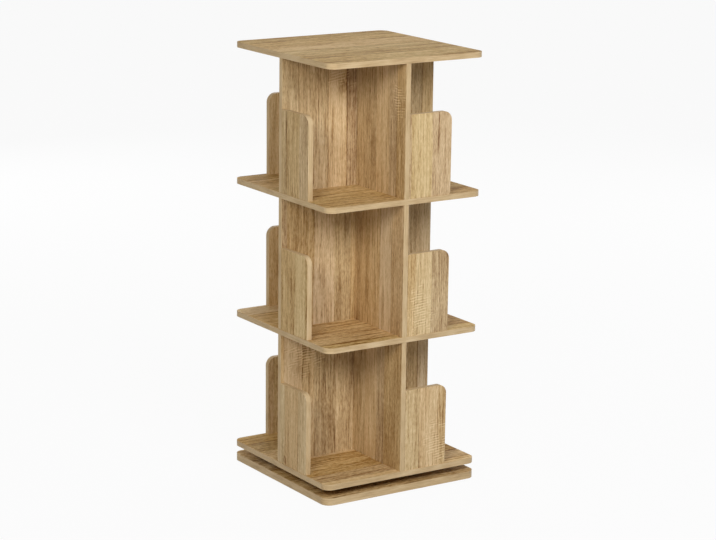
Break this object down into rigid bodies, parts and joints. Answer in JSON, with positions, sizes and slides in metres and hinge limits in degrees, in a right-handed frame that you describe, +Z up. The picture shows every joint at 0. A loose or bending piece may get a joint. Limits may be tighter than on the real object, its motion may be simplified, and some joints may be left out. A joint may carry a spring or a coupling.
{
  "type": "revolving bookcase",
  "caption": "Square tiered bookcase of oak-look board that turns on a ball-race swivel above its base, with crossed dividers and low book stops on every side.",
  "frame": {"origin": "on the floor under the middle of the base board", "axes": "+Z up along the turning axis, front face of the case towards -Y, +X to the right of a person facing the front"},
  "size_m": [0.39, 0.39, 0.948],
  "materials": {
    "oak_laminate": "matt oak-look laminate with matching edge band",
    "beech": "plain turned beech",
    "zinc_plated_steel": "bright zinc plate",
    "die_cast_zinc": "bare die casting",
    "ball_steel": "polished",
    "nylon": "moulded",
    "felt": "pressed felt"
  },
  "bodies": {
    "base": {"base_board": "oak_laminate", "felt_pads": "felt", "swivel_lower_plate": "zinc_plated_steel", "swivel_lower_screws": "zinc_plated_steel"},
    "carousel": {"bottom_shelf": "oak_laminate", "lower_middle_shelf": "oak_laminate", "upper_middle_shelf": "oak_laminate", "top_board": "oak_laminate", "long_divider_low": "oak_laminate", "front_divider_low": "oak_laminate", "back_divider_low": "oak_laminate", "long_divider_mid": "oak_laminate", "front_divider_mid": "oak_laminate", "back_divider_mid": "oak_laminate", "long_divider_high": "oak_laminate", "front_divider_high": "oak_laminate", "back_divider_high": "oak_laminate", "front_stop_low": "oak_laminate", "right_stop_low": "oak_laminate", "back_stop_low": "oak_laminate", "left_stop_low": "oak_laminate", "front_stop_mid": "oak_laminate", "right_stop_mid": "oak_laminate", "back_stop_mid": "oak_laminate", "left_stop_mid": "oak_laminate", "front_stop_high": "oak_laminate", "right_stop_high": "oak_laminate", "back_stop_high": "oak_laminate", "left_stop_high": "oak_laminate", "swivel_upper_plate": "zinc_plated_steel", "swivel_rivet": "zinc_plated_steel", "swivel_upper_screws": "zinc_plated_steel", "shelf_screws": "zinc_plated_steel", "through_cam_bolts": "zinc_plated_steel", "top_cam_bolts": "zinc_plated_steel", "cam_locks": "die_cast_zinc", "shelf_dowels": "beech", "cross_dowels": "beech", "blind_dowels": "beech"},
    "ball_ring": {"ball_cage": "nylon", "swivel_balls": "ball_steel"}
  },
  "joints": [
    {"name": "carousel_spin", "type": "hinge", "parent": "base", "child": "carousel", "pos_m": [0, 0, 0.027], "axis": [0, 0, 1], "continuous": true},
    {"name": "ball_ring_spin", "type": "hinge", "parent": "base", "child": "ball_ring", "pos_m": [0, 0, 0.027], "axis": [0, 0, 1], "continuous": true}
  ],
  "couplings": [
    {"joint": "ball_ring_spin", "follows": "carousel_spin", "ratio": 0.5}
  ]
}
